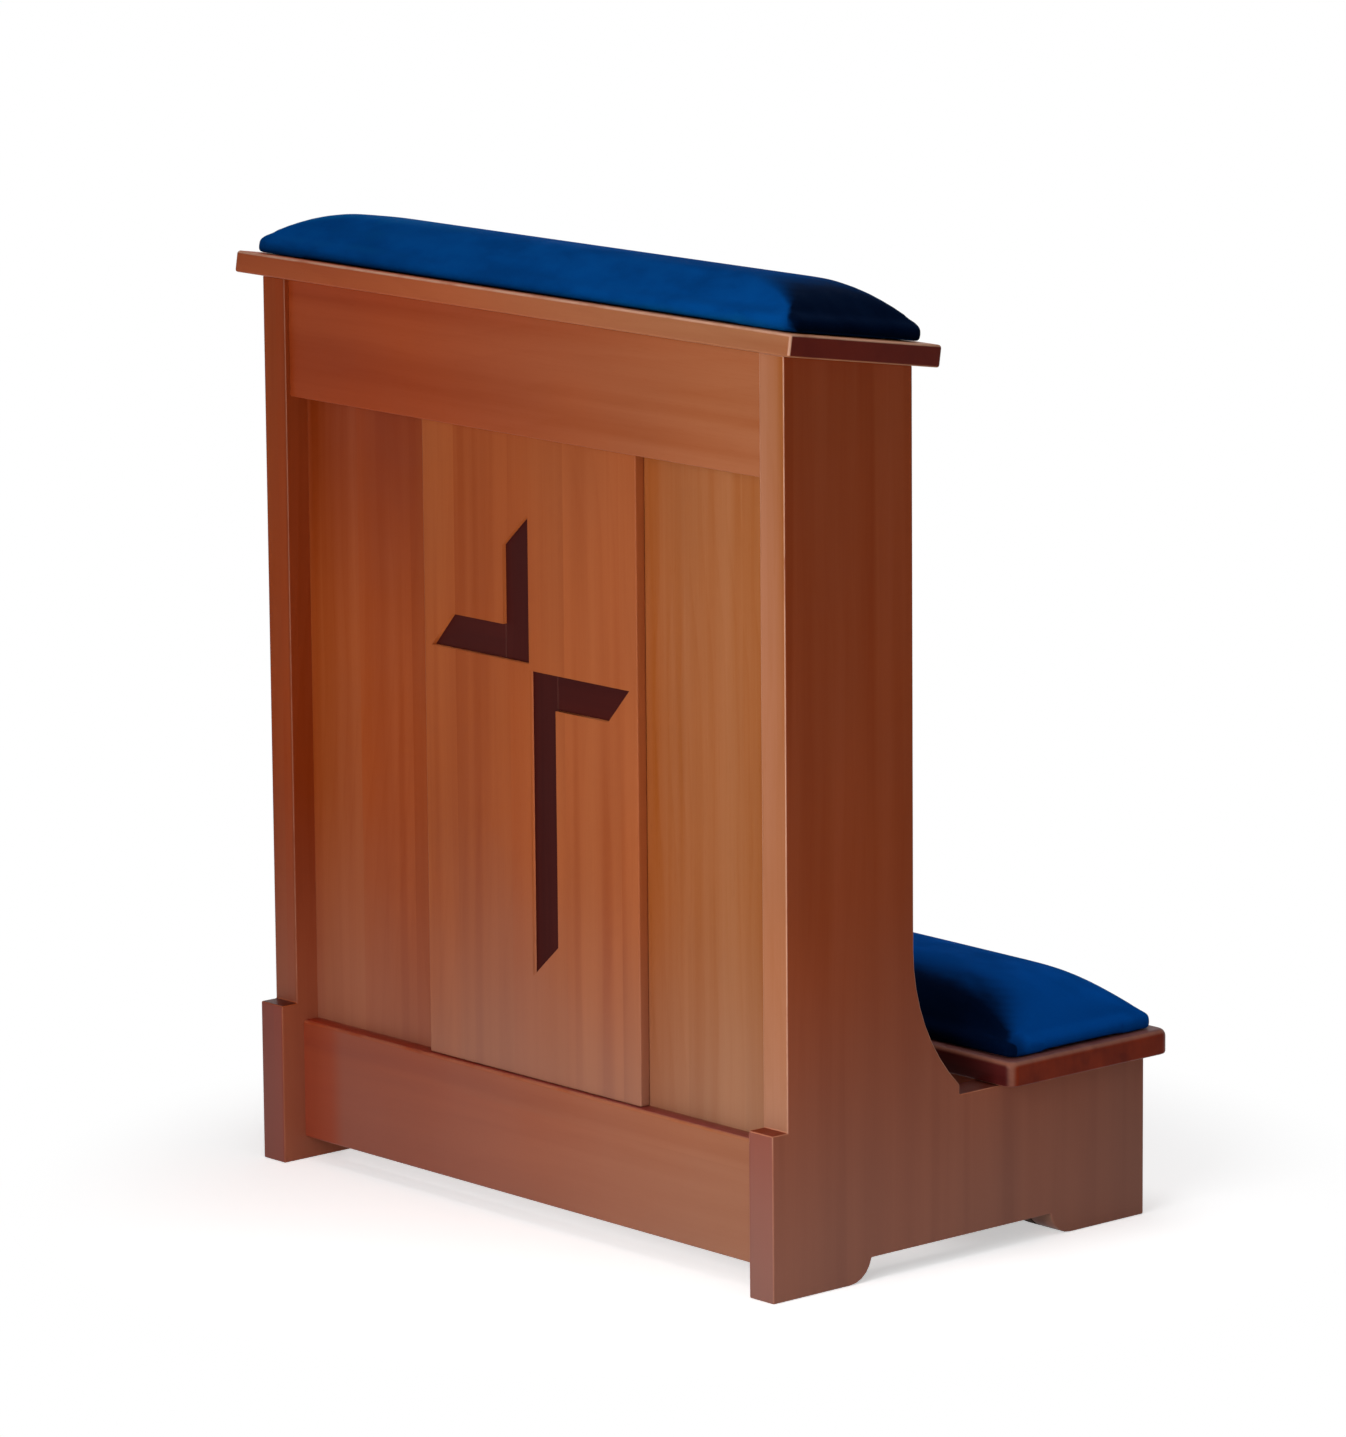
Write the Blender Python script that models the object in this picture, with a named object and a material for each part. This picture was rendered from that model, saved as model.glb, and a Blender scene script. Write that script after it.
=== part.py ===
"""Prie dieu: a wooden kneeler with a sloping padded armrest, built as a joiner builds it.

Two L-shaped side panels carry everything. Between their uprights stand a front rail, a grooved-in
back panel with a planted centre board, and a plinth board. The sloping top board carries the
armrest pad and the kneeler board carries the knee pad. Inlaid strips form the cross.

Lengths are metres and +Z is up. The cross faces -Y and the person kneels on the +Y side. Pieces are
drawn with y = 0 at the front edge of the uprights, under an empty that centres the whole on its base.
"""

import math

import bmesh
import bpy
from mathutils import Matrix, Vector

# Clearances
fit_gap = 0.0003
cut_overrun = 0.002

# Side panels
body_width = 0.680
side_thickness = 0.030
side_edge_round = 0.0015
lectern_height = 0.795
lectern_depth = 0.144
top_slope = math.radians(8.9)
seat_height = 0.144
seat_lip = 0.0085
back_curve_radius = 0.175
back_curve_reach = 0.053
foot_step = 0.017
step_height = 0.144
foot_length = 0.112
toe_radius = 0.025
arch_height = 0.020
curve_steps = 8
toe_steps = 5

# Board ends let into the sides
tenon_length = 0.016
groove_depth = 0.008

# Front rail
rail_width = 0.105
rail_setback = 0.005
rail_thickness = 0.032
rail_shoulder = 0.011
rail_edge_round = 0.0015

# Back panel and centre board
panel_setback = 0.024
panel_thickness = 0.008
centre_board_width = 0.280
centre_board_thickness = 0.0102
centre_board_edge_round = 0.0012

# Plinth board
plinth_setback = 0.007
plinth_thickness = 0.030
plinth_drop = 0.0165
plinth_shoulder = 0.011
plinth_edge_round = 0.003

# Cross, as shares of the centre board's face measured from its crossing
crossing_share = 0.643
cross_up_share = 0.235
cross_down_share = 0.480
cross_side_share = 0.461
cross_stem_width = 0.033
cross_bar_width = 0.030
cross_tip_angle = math.radians(42)
cross_bridge_height = 0.006
cross_bridge_width = 0.0012
cross_recess_depth = 0.0075
cross_strip_thickness = 0.004
cross_strip_round = 0.0007

# Top board
top_board_thickness = 0.019
top_front_overhang = 0.0145
top_rear_overhang = 0.011
top_side_overhang = 0.022
top_edge_round = 0.006
top_lower_edge_round = 0.002
top_corner_radius = 0.003

# Book shelf
shelf_drop = 0.090
shelf_thickness = 0.018
shelf_rear_setback = 0.010
shelf_shoulder = 0.005
shelf_tenon_length = 0.010
shelf_edge_round = 0.002

# Kneeler board
kneeler_gap = 0.043
kneeler_depth = 0.190
kneeler_thickness = 0.022
kneeler_side_overhang = 0.018
kneeler_rear_overhang = 0.014
kneeler_edge_round = 0.006
kneeler_lower_edge_round = 0.002
kneeler_corner_radius = 0.010

# Rails and bearer under the kneeler board
kneeler_rail_thickness = 0.022
kneeler_rail_width = 0.080
kneeler_rail_inset = 0.006
kneeler_rail_shoulder = 0.006
rear_rail_inset = 0.008
hidden_edge_ease = 0.001
bearer_thickness = 0.022
bearer_width = 0.060
bearer_housing = 0.006

# Cleats, corner blocks and foot blocks
cleat_size = 0.022
cleat_clearance = 0.004
corner_block_leg = 0.026
corner_block_clearance = 0.005
foot_block_thickness = 0.015
foot_block_rise = 0.050

# Pads
cover_thickness = 0.0015
hem_width = 0.018
pad_base_thickness = 0.006
pad_base_inset = 0.003
pad_draw_in = 0.0025
pad_segments_long = 24
pad_segments_short = 12
armrest_pad_inset = 0.010
armrest_foam_edge = 0.003
armrest_crown = 0.030
armrest_end_run = 0.089
armrest_end_power = 3.4
armrest_cross_power = 4.3
armrest_corner_radius = 0.009
kneeler_pad_inset = 0.009
kneeler_foam_edge = 0.0012
kneeler_crown = 0.041
kneeler_end_run = 0.109
kneeler_end_power = 3.1
kneeler_cross_power = 3.1
kneeler_pad_corner_radius = 0.012

# Countersunk wood screws
screw_radius = 0.002
screw_head_radius = 0.004
screw_head_depth = 0.0022
screw_tip_length = 0.004
screw_sides = 10
bite_share = 0.6
cleat_side_screw_shares = (0.15, 0.85)
cleat_board_screw_shares = (0.38, 0.62)
pad_screw_long_share = 0.66
pad_screw_short_share = 0.40
board_screw_long_shares = (0.12, 0.91)
board_screw_across_share = 0.82

# Places that follow from the sizes
inner_face = body_width / 2 - side_thickness
outer_face = body_width / 2
curve_foot = lectern_depth + back_curve_reach
kneeler_front = curve_foot + kneeler_gap
side_rear = kneeler_front + kneeler_depth - kneeler_rear_overhang
rail_bottom = lectern_height - rail_width
plinth_top = step_height - plinth_drop
toe_reach = toe_radius * math.sin(math.acos(1 - min(arch_height, toe_radius) / toe_radius))
front_sole = foot_length - foot_step - toe_reach
rear_sole = side_rear - foot_length + toe_reach
panel_back = panel_setback + panel_thickness
board_front = panel_setback - fit_gap - centre_board_thickness
whole_front = -max(foot_step, top_front_overhang * math.cos(top_slope))
whole_rear = side_rear + kneeler_rear_overhang


def colour_material(name, colour, roughness, metallic=0.0):
    material = bpy.data.materials.new(name)
    material.use_nodes = True
    shader = material.node_tree.nodes["Principled BSDF"]
    shader.inputs["Base Color"].default_value = (*colour, 1.0)
    shader.inputs["Roughness"].default_value = roughness
    shader.inputs["Metallic"].default_value = metallic
    return material


def add_empty(name, parent=None, location=(0, 0, 0), tilt=0.0):
    empty = bpy.data.objects.new(name, None)
    empty.parent = parent
    empty.location = location
    empty.rotation_euler = (tilt, 0, 0)
    bpy.context.scene.collection.objects.link(empty)
    return empty


def add_piece(name, mesh, material, parent):
    piece = bpy.data.objects.new(name, mesh)
    piece.parent = parent
    piece.data.materials.append(material)
    bpy.context.scene.collection.objects.link(piece)
    return piece


def mesh_from(shape, name):
    bmesh.ops.recalc_face_normals(shape, faces=shape.faces)
    mesh = bpy.data.meshes.new(name)
    shape.to_mesh(mesh)
    shape.free()
    return mesh


def prism(outline, axis, low, high):
    """A bmesh of the outline drawn square to an axis and pushed from low to high along it.

    The outline is (y, z) points for axis X, (x, z) for axis Y and (x, y) for axis Z.
    """
    place = {
        "X": lambda a, b: (low, a, b),
        "Y": lambda a, b: (a, low, b),
        "Z": lambda a, b: (a, b, low),
    }[axis]
    push = Vector([high - low if axis == letter else 0 for letter in "XYZ"])
    shape = bmesh.new()
    face = shape.faces.new([shape.verts.new(place(a, b)) for a, b in outline])
    pushed = bmesh.ops.extrude_face_region(shape, geom=[face])
    moved = [item for item in pushed["geom"] if isinstance(item, bmesh.types.BMVert)]
    bmesh.ops.translate(shape, vec=push, verts=moved)
    bmesh.ops.recalc_face_normals(shape, faces=shape.faces)
    return shape


def box(low, high):
    outline = [(low[0], low[1]), (high[0], low[1]), (high[0], high[1]), (low[0], high[1])]
    return prism(outline, "Z", low[2], high[2])


def inset_outline(outline, inset):
    """The outline moved in by inset along each side; a negative inset grows it."""
    count = len(outline)
    turn = sum(
        outline[i][0] * outline[(i + 1) % count][1] - outline[(i + 1) % count][0] * outline[i][1]
        for i in range(count)
    )
    inward = math.copysign(inset, turn) if inset > 0 else -math.copysign(inset, turn)
    moved = []
    for i in range(count):
        corner = Vector(outline[i])
        before = (corner - Vector(outline[i - 1])).normalized()
        after = (Vector(outline[(i + 1) % count]) - corner).normalized()
        before_in = Vector((-before.y, before.x))
        after_in = Vector((-after.y, after.x))
        miter = (before_in + after_in) / (1 + before_in.dot(after_in))
        moved.append(tuple(corner + miter * inward))
    return moved


def bevel_edges(shape, edges, width, segments):
    bmesh.ops.bevel(
        shape, geom=edges, offset=width, offset_type="OFFSET", affect="EDGES",
        segments=segments, profile=0.5, material=-1, clamp_overlap=True,
    )


def ease_edges(piece, width, segments=1):
    bevel = piece.modifiers.new("eased_edges", "BEVEL")
    bevel.width = width
    bevel.segments = segments
    bevel.limit_method = "ANGLE"
    bevel.angle_limit = math.radians(30)


def cuts_of(piece):
    """The collection of cutters that a piece is cut by, made with its Boolean on first use."""
    name = piece.name + "_cuts"
    if name not in bpy.data.collections:
        cuts = bpy.data.collections.new(name)
        bpy.context.scene.collection.children.link(cuts)
        boolean = piece.modifiers.new("cuts", "BOOLEAN")
        boolean.operation = "DIFFERENCE"
        boolean.solver = "EXACT"
        boolean.operand_type = "COLLECTION"
        boolean.collection = cuts
    return bpy.data.collections[name]


def cut(shape, pieces, parent, matrix=None):
    mesh = mesh_from(shape, "cutter")
    cutter = bpy.data.objects.new("cutter", mesh)
    cutter.hide_render = True
    cutter.display_type = "WIRE"
    cutter.parent = parent
    if matrix is not None:
        cutter.matrix_local = matrix
    for piece in pieces:
        cuts_of(piece).objects.link(cutter)


def turned(profile):
    """A bmesh turned about +Z from (radius, height) points that start and end on the axis."""
    shape = bmesh.new()
    points = [shape.verts.new((radius, 0, height)) for radius, height in profile]
    edges = [shape.edges.new(pair) for pair in zip(points, points[1:])]
    bmesh.ops.spin(
        shape, geom=points + edges, cent=(0, 0, 0), axis=(0, 0, 1), angle=2 * math.pi,
        steps=screw_sides, use_merge=True,
    )
    bmesh.ops.remove_doubles(shape, verts=shape.verts, dist=fit_gap / 10)
    return shape


def add_screw(name, head, direction, length, pieces, parent):
    """A countersunk screw whose head lies just under a surface, and its hole in each piece."""
    matrix = Matrix.Translation(head) @ Vector(direction).to_track_quat("Z", "Y").to_matrix().to_4x4()
    neck = fit_gap + screw_head_depth
    screw = turned([
        (0, fit_gap),
        (screw_head_radius, fit_gap),
        (screw_radius, neck),
        (screw_radius, length - screw_tip_length),
        (0, length),
    ])
    hole = turned([
        (0, -cut_overrun),
        (screw_head_radius + fit_gap, -cut_overrun),
        (screw_head_radius + fit_gap, fit_gap),
        (screw_radius + fit_gap, neck + fit_gap),
        (screw_radius + fit_gap, length + fit_gap),
        (0, length + fit_gap),
    ])
    piece = add_piece(name, mesh_from(screw, name), steel, parent)
    piece.matrix_local = matrix
    piece.data.shade_smooth()
    piece.data.set_sharp_from_angle(angle=math.radians(40))
    cut(hole, pieces, parent, matrix)


def add_tenons(shape, shoulder, length):
    ends = [face for face in shape.faces if abs(face.normal.x) > 0.99]
    bmesh.ops.inset_individual(shape, faces=ends, thickness=shoulder, use_even_offset=True)
    for end in ends:
        away = Vector((math.copysign(length, end.normal.x), 0, 0))
        pushed = bmesh.ops.extrude_discrete_faces(shape, faces=[end])["faces"]
        bmesh.ops.translate(shape, vec=away, verts=pushed[0].verts)


def long_edges(shape, half_length):
    """The edges of a board's four or more arrises, left out of its tenons."""
    limit = half_length - fit_gap / 10
    return [
        edge for edge in shape.edges
        if all(limit < abs(vert.co.x) < limit + fit_gap for vert in edge.verts)
        and abs(edge.verts[0].co.x - edge.verts[1].co.x) > half_length
    ]


def add_tenoned_board(name, outline, shoulder, length, edge_round, material, parent, sides):
    """A board between the side panels, with a stub tenon at each end and their mortises cut."""
    half_length = inner_face - fit_gap
    shape = prism(outline, "X", -half_length, half_length)
    add_tenons(shape, shoulder, length)
    bevel_edges(shape, long_edges(shape, half_length), edge_round, 2)
    board = add_piece(name, mesh_from(shape, name), material, parent)
    mouth = inset_outline(outline, shoulder - fit_gap)
    for side, panel in sides.items():
        ends = sorted((side * (inner_face - cut_overrun), side * (inner_face + length)))
        cut(prism(mouth, "X", *ends), [panel], parent)
    return board


def rectangle(a_low, a_high, b_low, b_high):
    return [(a_low, b_low), (a_high, b_low), (a_high, b_high), (a_low, b_high)]


def top_height(y):
    """Height of the sloping top edge of the sides at a distance behind their front."""
    return lectern_height - math.tan(top_slope) * y


def toe_points(heel, towards):
    """The rounded toe of a foot, from its flat sole at heel up to the arch."""
    rise = min(arch_height, toe_radius)
    sweep = math.acos(1 - rise / toe_radius)
    points = []
    for step in range(toe_steps + 1):
        angle = sweep * step / toe_steps
        across = toe_radius * math.sin(angle)
        points.append((heel + towards * across, toe_radius * (1 - math.cos(angle))))
    if arch_height > toe_radius:
        points.append((heel + towards * toe_radius, arch_height))
    return points


def side_outline():
    curve_base = seat_height + seat_lip
    sweep = math.acos(1 - back_curve_reach / back_curve_radius)
    curve_top = curve_base + back_curve_radius * math.sin(sweep)
    back_curve = []
    for step in range(curve_steps + 1):
        angle = sweep * (1 - step / curve_steps)
        back_curve.append((
            lectern_depth + back_curve_radius * (1 - math.cos(angle)),
            curve_top - back_curve_radius * math.sin(angle),
        ))
    return [
        (-foot_step, 0),
        *toe_points(front_sole, 1),
        *reversed(toe_points(rear_sole, -1)),
        (side_rear, 0),
        (side_rear, seat_height),
        (curve_foot, seat_height),
        *back_curve,
        (lectern_depth, top_height(lectern_depth)),
        (0, lectern_height),
        (0, step_height),
        (-foot_step, step_height),
    ]


def add_sides(parent):
    sides = {}
    for side, name in ((-1, "side_panel_left"), (1, "side_panel_right")):
        shape = prism(side_outline(), "X", *sorted((side * inner_face, side * outer_face)))
        panel = add_piece(name, mesh_from(shape, name), lacquered_wood, parent)
        ease_edges(panel, side_edge_round, 2)
        sides[side] = panel
    return sides


def add_front(parent, sides):
    """Front rail, back panel in its groove, planted centre board and plinth board."""
    rail_back = rail_setback + rail_thickness
    rail = add_tenoned_board(
        "front_rail",
        [
            (rail_setback, rail_bottom),
            (rail_back, rail_bottom),
            (rail_back, top_height(rail_back)),
            (rail_setback, top_height(rail_setback)),
        ],
        rail_shoulder, tenon_length, rail_edge_round, lacquered_wood, parent, sides,
    )
    plinth = add_tenoned_board(
        "plinth_board",
        rectangle(plinth_setback, plinth_setback + plinth_thickness, arch_height, plinth_top),
        plinth_shoulder, tenon_length, plinth_edge_round, lacquered_wood, parent, sides,
    )
    reach = groove_depth - fit_gap
    panel_low = plinth_top - reach
    panel_high = rail_bottom + reach
    half_width = inner_face + reach
    panel_shape = box((-half_width, panel_setback, panel_low), (half_width, panel_back, panel_high))
    panel = add_piece("back_panel", mesh_from(panel_shape, "back_panel"), panel_wood, parent)
    groove_front = panel_setback - fit_gap
    groove_back = panel_back + fit_gap
    past = half_width + cut_overrun
    cut(
        box((-past, groove_front, rail_bottom - cut_overrun), (past, groove_back, panel_high + fit_gap)),
        [rail], parent,
    )
    cut(
        box((-past, groove_front, panel_low - fit_gap), (past, groove_back, plinth_top + cut_overrun)),
        [plinth], parent,
    )
    for side, side_panel in sides.items():
        ends = sorted((side * (inner_face - cut_overrun), side * (half_width + fit_gap)))
        groove = box(
            (ends[0], groove_front, panel_low - fit_gap), (ends[1], groove_back, panel_high + fit_gap)
        )
        cut(groove, [side_panel], parent)
    return panel


def cross_arms(board_low, board_high):
    """Outlines, in x and z, of the four strips of the cross, two to each of its L shapes."""
    height = board_high - board_low
    crossing = board_low + crossing_share * height
    half_gap = cross_bridge_width / 2
    upper_base = crossing + cross_bridge_height / 2
    lower_base = crossing - cross_bridge_height / 2
    top = crossing + cross_up_share * height
    foot = crossing - cross_down_share * height
    reach = cross_side_share * centre_board_width
    stem_slant = cross_stem_width * math.tan(cross_tip_angle)
    bar_slant = cross_bar_width * math.tan(cross_tip_angle)
    stem_edge = half_gap + cross_stem_width
    bar_start = stem_edge + fit_gap
    return {
        "cross_upper_stem": [
            (-stem_edge, upper_base),
            (-half_gap, upper_base),
            (-half_gap, top),
            (-stem_edge, top - stem_slant),
        ],
        "cross_left_bar": [
            (-reach, upper_base),
            (-bar_start, upper_base),
            (-bar_start, upper_base + cross_bar_width),
            (-reach + bar_slant, upper_base + cross_bar_width),
        ],
        "cross_lower_stem": [
            (half_gap, foot),
            (stem_edge, foot + stem_slant),
            (stem_edge, lower_base),
            (half_gap, lower_base),
        ],
        "cross_right_bar": [
            (bar_start, lower_base - cross_bar_width),
            (reach - bar_slant, lower_base - cross_bar_width),
            (reach, lower_base),
            (bar_start, lower_base),
        ],
    }


def add_centre_board(parent, back_panel):
    low = plinth_top + fit_gap
    high = rail_bottom - fit_gap
    half = centre_board_width / 2
    back = board_front + centre_board_thickness
    shape = box((-half, board_front, low), (half, back, high))
    board = add_piece("centre_board", mesh_from(shape, "centre_board"), panel_wood, parent)
    ease_edges(board, centre_board_edge_round, 2)
    recess_floor = board_front + cross_recess_depth
    strip_back = recess_floor - fit_gap
    for name, outline in cross_arms(low, high).items():
        strip_shape = prism(outline, "Y", strip_back - cross_strip_thickness, strip_back)
        strip = add_piece(name, mesh_from(strip_shape, name), dark_wood, parent)
        ease_edges(strip, cross_strip_round)
        recess = prism(
            inset_outline(outline, -fit_gap), "Y", board_front - cut_overrun, recess_floor
        )
        cut(recess, [board], parent)
    length = panel_thickness + fit_gap + bite_share * centre_board_thickness
    heights = [low + share * (high - low) for share in board_screw_long_shares]
    number = 0
    for side in (-1, 1):
        for height in heights:
            number += 1
            head = (side * board_screw_across_share * half, panel_back, height)
            add_screw(
                f"centre_board_screw_{number}", head, (0, -1, 0), length, [back_panel, board], parent
            )


def add_rounded_board(name, low, high, corner_radius, upper_round, lower_round, material, parent):
    """A board with rounded corners in plan, well rounded upper edges and eased lower edges."""
    shape = box(low, high)
    corners = [
        edge for edge in shape.edges
        if abs(edge.verts[0].co.z - edge.verts[1].co.z) > fit_gap
    ]
    bevel_edges(shape, corners, corner_radius, 4)
    for direction, width, segments in ((1, upper_round, 4), (-1, lower_round, 2)):
        rim = [
            edge for edge in shape.edges
            if abs(edge.verts[0].co.z - edge.verts[1].co.z) < fit_gap
            and any(face.normal.z * direction > 0.99 for face in edge.link_faces)
        ]
        bevel_edges(shape, rim, width, segments)
    board = add_piece(name, mesh_from(shape, name), material, parent)
    board.data.shade_smooth()
    board.data.set_sharp_from_angle(angle=math.radians(40))
    return board


def rounded_corner(x, y, half_length, half_depth, radius):
    """A point of a rectangle's grid moved so that the rectangle's corners are round."""
    past_x = (abs(x) - half_length + radius) / radius
    past_y = (abs(y) - half_depth + radius) / radius
    if past_x <= 0 or past_y <= 0:
        return x, y
    round_x = past_x * math.sqrt(1 - past_y**2 / 2)
    round_y = past_y * math.sqrt(1 - past_x**2 / 2)
    return (
        math.copysign(half_length - radius + round_x * radius, x),
        math.copysign(half_depth - radius + round_y * radius, y),
    )


def dome(half_length, half_depth, rim, form):
    """A bmesh grid with a pad's crown, drawn-in sides and round corners, open underneath."""
    shape = bmesh.new()
    bmesh.ops.create_grid(
        shape, x_segments=pad_segments_long, y_segments=pad_segments_short, size=1
    )
    for vert in shape.verts:
        along = math.sin(vert.co.x * math.pi / 2)
        across = math.sin(vert.co.y * math.pi / 2)
        from_end = min((1 - abs(along)) / form["end_share"], 1)
        rise = 1 - (1 - from_end) ** form["end_power"]
        rise *= 1 - abs(across) ** form["cross_power"]
        x, y = rounded_corner(
            along * half_length, across * half_depth, half_length, half_depth, form["corner_radius"]
        )
        x -= math.copysign(pad_draw_in * (1 - across**2) * along**4, x)
        y -= math.copysign(pad_draw_in * (1 - along**2) * across**4, y)
        vert.co = (x, y, rim + form["crown"] * rise)
    return shape


def lowered_rim(shape, level):
    """Runs the open edge of a dome straight down to a level and returns the new edge loop."""
    border = [edge for edge in shape.edges if edge.is_boundary]
    made = bmesh.ops.extrude_edge_only(shape, edges=border)["geom"]
    for vert in (item for item in made if isinstance(item, bmesh.types.BMVert)):
        vert.co.z = level
    return [item for item in made if isinstance(item, bmesh.types.BMEdge) and item.is_boundary]


def add_pad(prefix, half_length, half_depth, centre, level, form, parent):
    """A plywood base, a foam block and a cover whose hem is folded under the base."""
    place = Matrix.Translation((0, centre, level))
    hem_low = fit_gap
    base_low = hem_low + cover_thickness + fit_gap
    base_high = base_low + pad_base_thickness
    foam_low = base_high + fit_gap
    foam_rim = foam_low + form["foam_edge"]
    wrap = cover_thickness + 2 * fit_gap

    base_x = half_length - wrap - pad_base_inset
    base_y = half_depth - wrap - pad_base_inset
    base_shape = box((-base_x, -base_y, base_low), (base_x, base_y, base_high))
    base = add_piece(prefix + "_base", mesh_from(base_shape, prefix + "_base"), plywood, parent)
    ease_edges(base, hidden_edge_ease)
    base.matrix_local = place

    foam_shape = dome(half_length - wrap, half_depth - wrap, foam_rim, form)
    loop = lowered_rim(foam_shape, foam_low)
    bmesh.ops.contextual_create(foam_shape, geom=loop)
    foam = add_piece(prefix + "_foam", mesh_from(foam_shape, prefix + "_foam"), foam_rubber, parent)
    foam.matrix_local = place

    cover_shape = dome(half_length, half_depth, foam_rim + wrap, form)
    loop = lowered_rim(cover_shape, hem_low)
    hem = bmesh.ops.extrude_edge_only(cover_shape, edges=loop)["geom"]
    for vert in (item for item in hem if isinstance(item, bmesh.types.BMVert)):
        vert.co.x *= (half_length - hem_width) / half_length
        vert.co.y *= (half_depth - hem_width) / half_depth
    cover = add_piece(prefix + "_cover", mesh_from(cover_shape, prefix + "_cover"), blue_cloth, parent)
    thickness = cover.modifiers.new("cloth_thickness", "SOLIDIFY")
    thickness.thickness = cover_thickness
    thickness.offset = -1
    thickness.use_even_offset = True
    cover.matrix_local = place
    for soft in (foam, cover):
        soft.data.shade_smooth()
        soft.data.set_sharp_from_angle(angle=math.radians(50))
    return base, base_low


def add_pad_screws(prefix, half_length, half_depth, centre, board_low, base_level, pieces, parent):
    """Four screws driven from under a board into the pad's base."""
    length = base_level + bite_share * pad_base_thickness - board_low
    number = 0
    for along in (-1, 1):
        for across in (-1, 1):
            number += 1
            head = (
                along * pad_screw_long_share * half_length,
                centre + across * pad_screw_short_share * half_depth,
                board_low,
            )
            add_screw(f"{prefix}_screw_{number}", head, (0, 0, 1), length, pieces, parent)


def add_cleats(prefix, front, rear, board, board_bite, sides, parent):
    """A batten on each side panel, screwed to the panel and up into the board above it."""
    inner = inner_face - fit_gap - cleat_size
    outer = inner_face - fit_gap
    for side, side_name in ((-1, "left"), (1, "right")):
        name = f"{prefix}_cleat_{side_name}"
        x_low, x_high = sorted((side * inner, side * outer))
        shape = box((x_low, front, -cleat_size), (x_high, rear, 0))
        cleat = add_piece(name, mesh_from(shape, name), inner_wood, parent)
        ease_edges(cleat, hidden_edge_ease)
        side_length = cleat_size + fit_gap + bite_share * side_thickness
        board_length = cleat_size + fit_gap + board_bite
        for number, share in enumerate(cleat_side_screw_shares, 1):
            head = (side * inner, front + share * (rear - front), -cleat_size / 2)
            add_screw(
                f"{name}_side_screw_{number}", head, (side, 0, 0), side_length,
                [cleat, sides[side]], parent,
            )
        for number, share in enumerate(cleat_board_screw_shares, 1):
            head = (side * (inner + cleat_size / 2), front + share * (rear - front), -cleat_size)
            add_screw(
                f"{name}_board_screw_{number}", head, (0, 0, 1), board_length,
                [cleat, board], parent,
            )


def add_top(parent, sides):
    """The sloping top board with its cleats and armrest pad, drawn square to the slope."""
    slope = add_empty("top_slope", parent, (0, 0, lectern_height), -top_slope)
    front = -top_front_overhang
    rear = (lectern_depth + top_rear_overhang) / math.cos(top_slope)
    half_length = outer_face + top_side_overhang
    low = fit_gap
    high = low + top_board_thickness
    board = add_rounded_board(
        "top_board", (-half_length, front, low), (half_length, rear, high),
        top_corner_radius, min(top_edge_round, top_board_thickness / 3), top_lower_edge_round,
        lacquered_wood, slope,
    )
    rail_back = rail_setback + rail_thickness
    cleat_front = rail_back / math.cos(top_slope) + cleat_size * math.tan(top_slope) + cleat_clearance
    cleat_rear = lectern_depth / math.cos(top_slope) - cleat_clearance
    add_cleats(
        "top", cleat_front, cleat_rear, board, bite_share * top_board_thickness, sides, slope
    )
    pad_x = half_length - armrest_pad_inset
    pad_y = (rear - front) / 2 - armrest_pad_inset
    centre = (rear + front) / 2
    form = {
        "foam_edge": armrest_foam_edge,
        "crown": armrest_crown,
        "end_share": armrest_end_run / pad_x,
        "end_power": armrest_end_power,
        "cross_power": armrest_cross_power,
        "corner_radius": armrest_corner_radius,
    }
    base, base_low = add_pad("armrest", pad_x, pad_y, centre, high, form, slope)
    add_pad_screws(
        "armrest", pad_x, pad_y, centre, low, high + base_low, [board, base], slope
    )


def add_shelf(parent, sides):
    top = rail_bottom - shelf_drop
    add_tenoned_board(
        "book_shelf",
        rectangle(
            panel_back + fit_gap, lectern_depth - shelf_rear_setback, top - shelf_thickness, top
        ),
        shelf_shoulder, shelf_tenon_length, shelf_edge_round, lacquered_wood, parent, sides,
    )


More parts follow.
